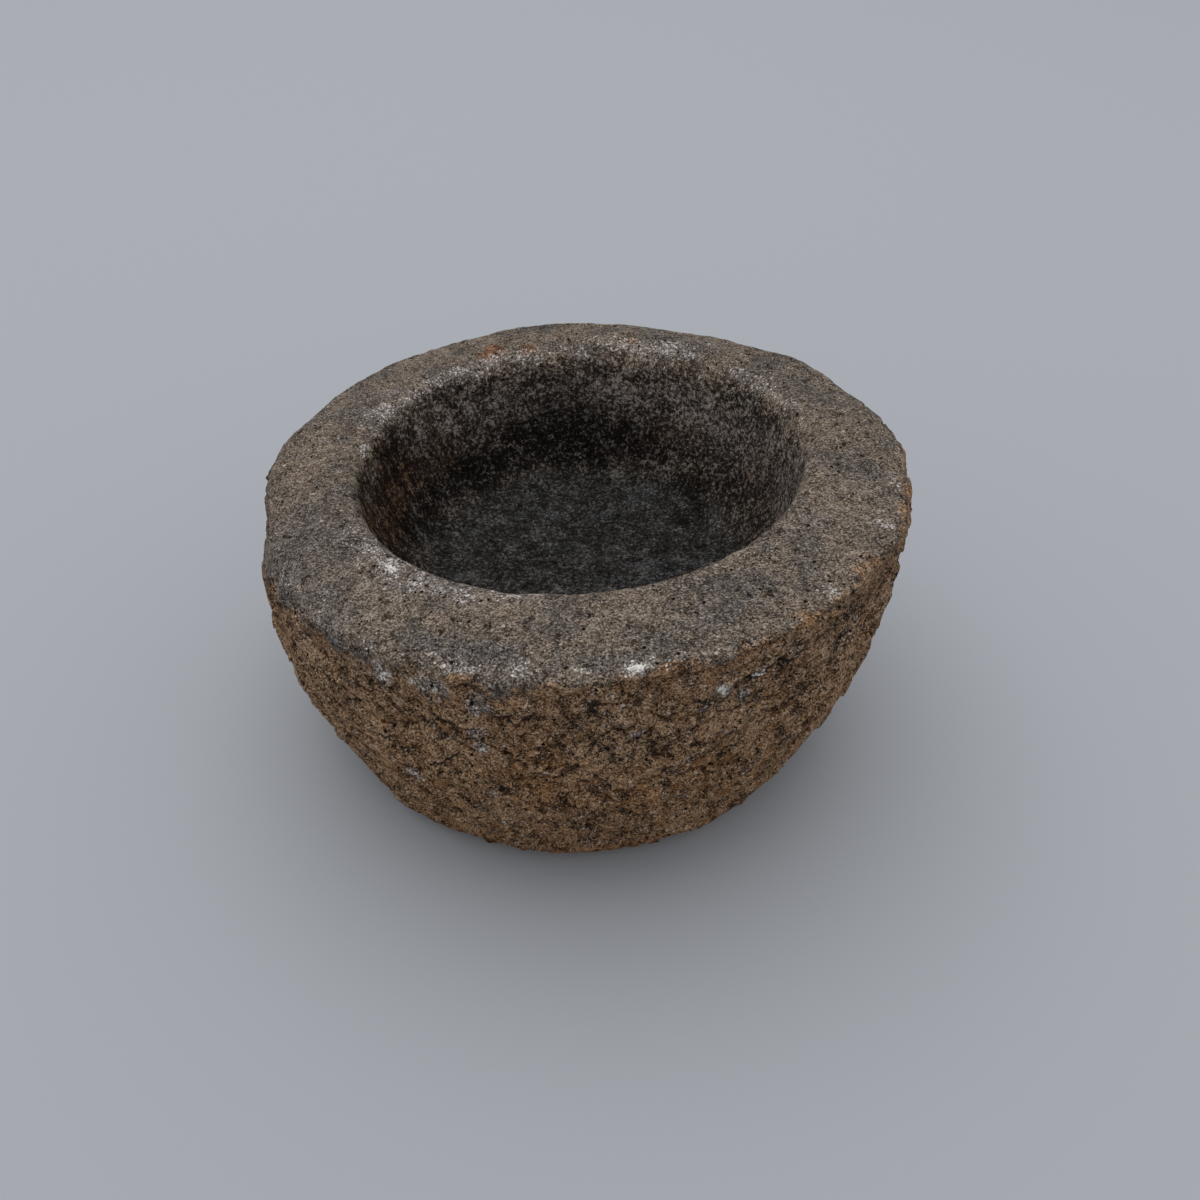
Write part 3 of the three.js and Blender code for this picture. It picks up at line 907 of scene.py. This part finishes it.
    # painted shade in tiny pits (dark pricks), closest together in the cut cavities, where it runs together
    look = pitLook
    prick = n.math("ADD", pattern("prick", level), swing(pattern("prickClusters", level), look["clusters"]))
    prick = n.math("SUBTRACT", prick, look["fewer"])
    prick = n.math("SUBTRACT", prick, part(cavityShade, look["inCavities"]))
    prick = n.span(prick, *look["prick"])
    # painted shade in ragged crevices of the outside, where soft noise crosses its middle
    line = n.math("ABSOLUTE", n.math("SUBTRACT", pattern("crevice", level), 0.5))
    kept = n.span(pattern("creviceKept", place), *look["creviceKept"])
    crevice = part(part(n.span(line, *look["creviceWidth"]), kept), outerShare)
    # painted shade in the cut cavities and open bubbles
    colour = n.mix(part(n.span(cavityShade, *look["cavityShade"]), look["cavityShare"]), colour, finish("paintedCavityShade"))
    shadeInHoles = n.math("MAXIMUM", part(prick, look["prickShare"]), crevice)
    colour = n.mix(part(shadeInHoles, look["shadeInHolesShare"]), colour, n.mix(outerShare, poreShadeColour, blackAndPitShadeColour))
    # painted shade in open pores, and pale specks, each in a cell of its own
    distance, chance, growth = n.cells(place, stoneGrain["pores"])
    distance = n.math("ADD", distance, swing(dust, look["poreEdge"]))
    size = n.span(growth, 0.0, 1.0, *look["poreSize"])
    spot = n.span(n.math("DIVIDE", distance, size), 1.0, 0.7)
    poreShade = part(spot, n.math("LESS_THAN", chance, n.span(clouds, *look["poreWhere"], *look["poreShare"])))
    onWall = n.math("SUBTRACT", 1.0, part(wallShare, look["fewerOnWall"]))
    colour = n.mix(part(poreShade, onWall), colour, blackAndPitShadeColour)
    inHollow = n.math("SUBTRACT", 1.0, part(hollow, look["fewerInHollow"]))
    specks = part(part(spot, n.math("GREATER_THAN", chance, look["speckShare"])), inHollow)
    colour = n.mix(specks, colour, speckColour)

    look = surfaceLook
    shader = n.add("ShaderNodeBsdfPrincipled")
    n.set(shader.inputs["Base Color"], colour)
    n.set(shader.inputs["Roughness"], n.span(coarse, *look["roughFrom"], *look["roughness"]))
    shader.inputs["Specular IOR Level"].default_value = look["gloss"]
    bump = n.add("ShaderNodeBump")
    bump.inputs["Strength"].default_value = 1.0
    bump.inputs["Distance"].default_value = look["bumpHeight"]
    raised = n.math("ADD", part(dust, look["dust"]), part(coarse, look["coarse"]))
    raised = n.math("ADD", raised, part(sand, look["sand"]))
    raised = n.math("SUBTRACT", raised, part(prick, look["prick"]))
    raised = n.math("SUBTRACT", raised, part(crevice, look["crevice"]))
    n.set(bump.inputs["Height"], raised)
    n.set(shader.inputs["Normal"], bump.outputs["Normal"])
    out = n.add("ShaderNodeOutputMaterial")
    n.set(out.inputs["Surface"], shader.outputs[0])
    return material


stone.data.materials.append(stoneMaterial())
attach(stone, "root")
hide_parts("mortar_bowl")
print("stone finished")

# a plain pale floor under a soft even sky, with a wide key light high up, a little to the left and behind
studio = dict(floorColour=tone(166, 170, 177), floorRoughness=0.9, floorSide=40,
              skyColour=(1.0, 1.0, 1.0), skyStrength=0.70,
              keyPlace=(-0.5, 0.6, 4.2), keySize=5.0, keyPower=74)


def floorMaterial():
    material = bpy.data.materials.new("paleFloor")
    material.use_nodes = True
    shader = material.node_tree.nodes["Principled BSDF"]
    shader.inputs["Base Color"].default_value = studio["floorColour"]
    shader.inputs["Roughness"].default_value = studio["floorRoughness"]
    return material


def lookAt(thing, target):
    direction = np.array(target) - np.array(thing.location)
    flat = math.hypot(direction[0], direction[1])
    thing.rotation_euler = (math.atan2(flat, -direction[2]), 0, math.atan2(-direction[0], direction[1]))


def buildStudio():
    half = studio["floorSide"] / 2
    floorMesh = bpy.data.meshes.new("studioFloor")
    corners = [(-half, -half, 0), (half, -half, 0), (half, half, 0), (-half, half, 0)]
    floorMesh.from_pydata(corners, [], [(0, 1, 2, 3)])
    floorObject = bpy.data.objects.new("studioFloor", floorMesh)
    floorMesh.materials.append(floorMaterial())
    bpy.context.scene.collection.objects.link(floorObject)
    world = bpy.data.worlds.new("overcast")
    world.use_nodes = True
    sky = world.node_tree.nodes["Background"]
    sky.inputs["Color"].default_value = (*studio["skyColour"], 1)
    sky.inputs["Strength"].default_value = studio["skyStrength"]
    bpy.context.scene.world = world
    key = bpy.data.lights.new("softKey", "AREA")
    key.shape = "DISK"
    key.size = studio["keySize"]
    key.energy = studio["keyPower"]
    keyObject = bpy.data.objects.new("softKey", key)
    keyObject.location = studio["keyPlace"]
    lookAt(keyObject, (0, 0, 0))
    bpy.context.scene.collection.objects.link(keyObject)


# the eye stands half a metre up and looks down steeply at the bowl
eye = dict(place=(0.0118, -0.5278, 0.5039), tilt=39.5, lens=36, sensor=36, nearest=0.01)


def placeCamera():
    camera = bpy.data.cameras.new("eye")
    camera.lens = eye["lens"]
    camera.sensor_width = eye["sensor"]
    camera.clip_start = eye["nearest"]
    cameraObject = bpy.data.objects.new("eye", camera)
    cameraObject.location = eye["place"]
    cameraObject.rotation_euler = (math.radians(90 - eye["tilt"]), 0, 0)
    bpy.context.scene.collection.objects.link(cameraObject)
    bpy.context.scene.camera = cameraObject


buildStudio()
placeCamera()
bpy.context.scene.view_settings.view_transform = "Standard"
print("studio ready")
